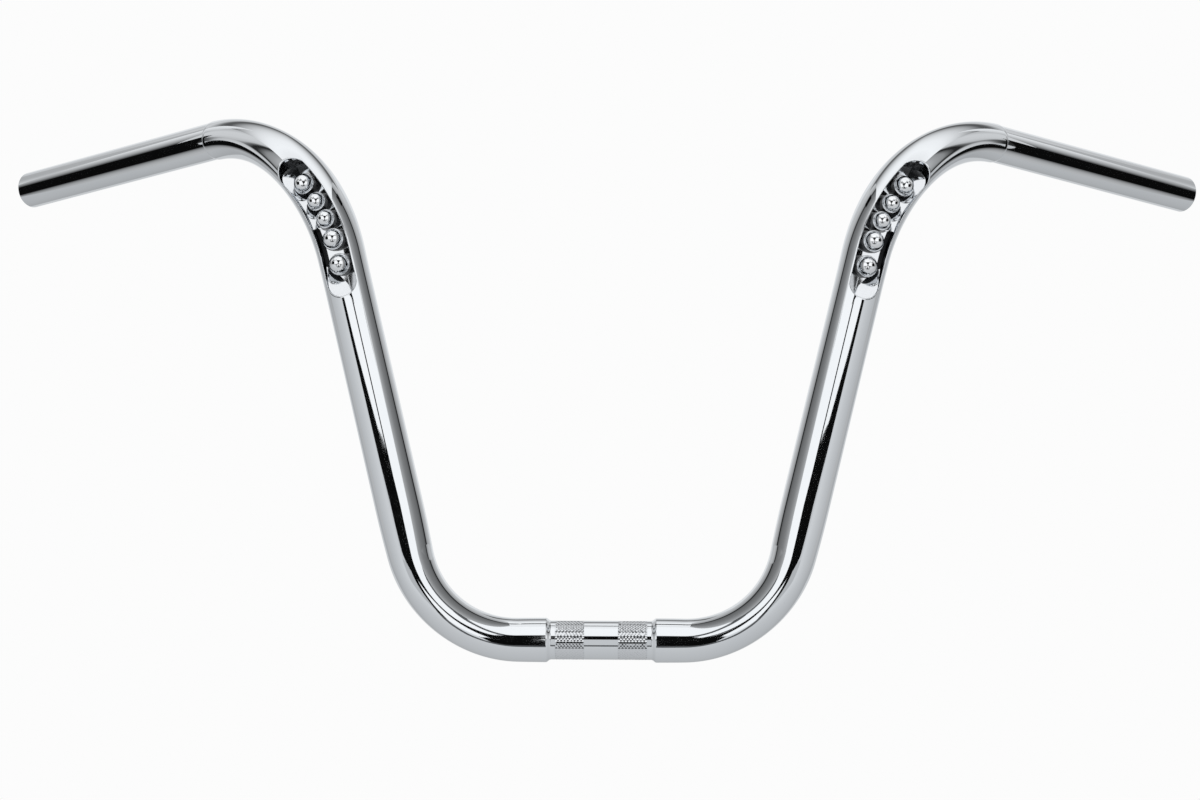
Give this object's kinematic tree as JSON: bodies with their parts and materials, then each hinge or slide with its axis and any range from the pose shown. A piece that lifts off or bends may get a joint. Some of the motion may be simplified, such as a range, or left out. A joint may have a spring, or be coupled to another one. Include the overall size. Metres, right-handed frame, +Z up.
{
  "type": "motorcycle handlebar",
  "caption": "Chrome buckhorn motorcycle handlebar: a thick bent tube, necked down at its knurled clamp seat and grip ends, with a slot of polished balls in each upper bend.",
  "frame": {"origin": "middle of the clamp seat, on the tube's axis", "axes": "+X across the bar along the clamp seat, to the right in the picture; +Y back towards the rider; +Z up, in the plane of the two legs"},
  "size_m": [0.8412, 0.2184, 0.3664],
  "materials": {
    "tube": "bright chrome plate on a steel tube",
    "channel": "bright chrome plate on pressed steel",
    "ball": "polished chrome plate on a solid steel ball"
  },
  "bodies": {
    "root": {"handlebar_tube": "tube", "right_slot_channel": "channel", "left_slot_channel": "channel", "right_ball_1": "ball", "left_ball_1": "ball", "right_ball_2": "ball", "left_ball_2": "ball", "right_ball_3": "ball", "left_ball_3": "ball", "right_ball_4": "ball", "left_ball_4": "ball", "right_ball_5": "ball", "left_ball_5": "ball"}
  },
  "joints": []
}
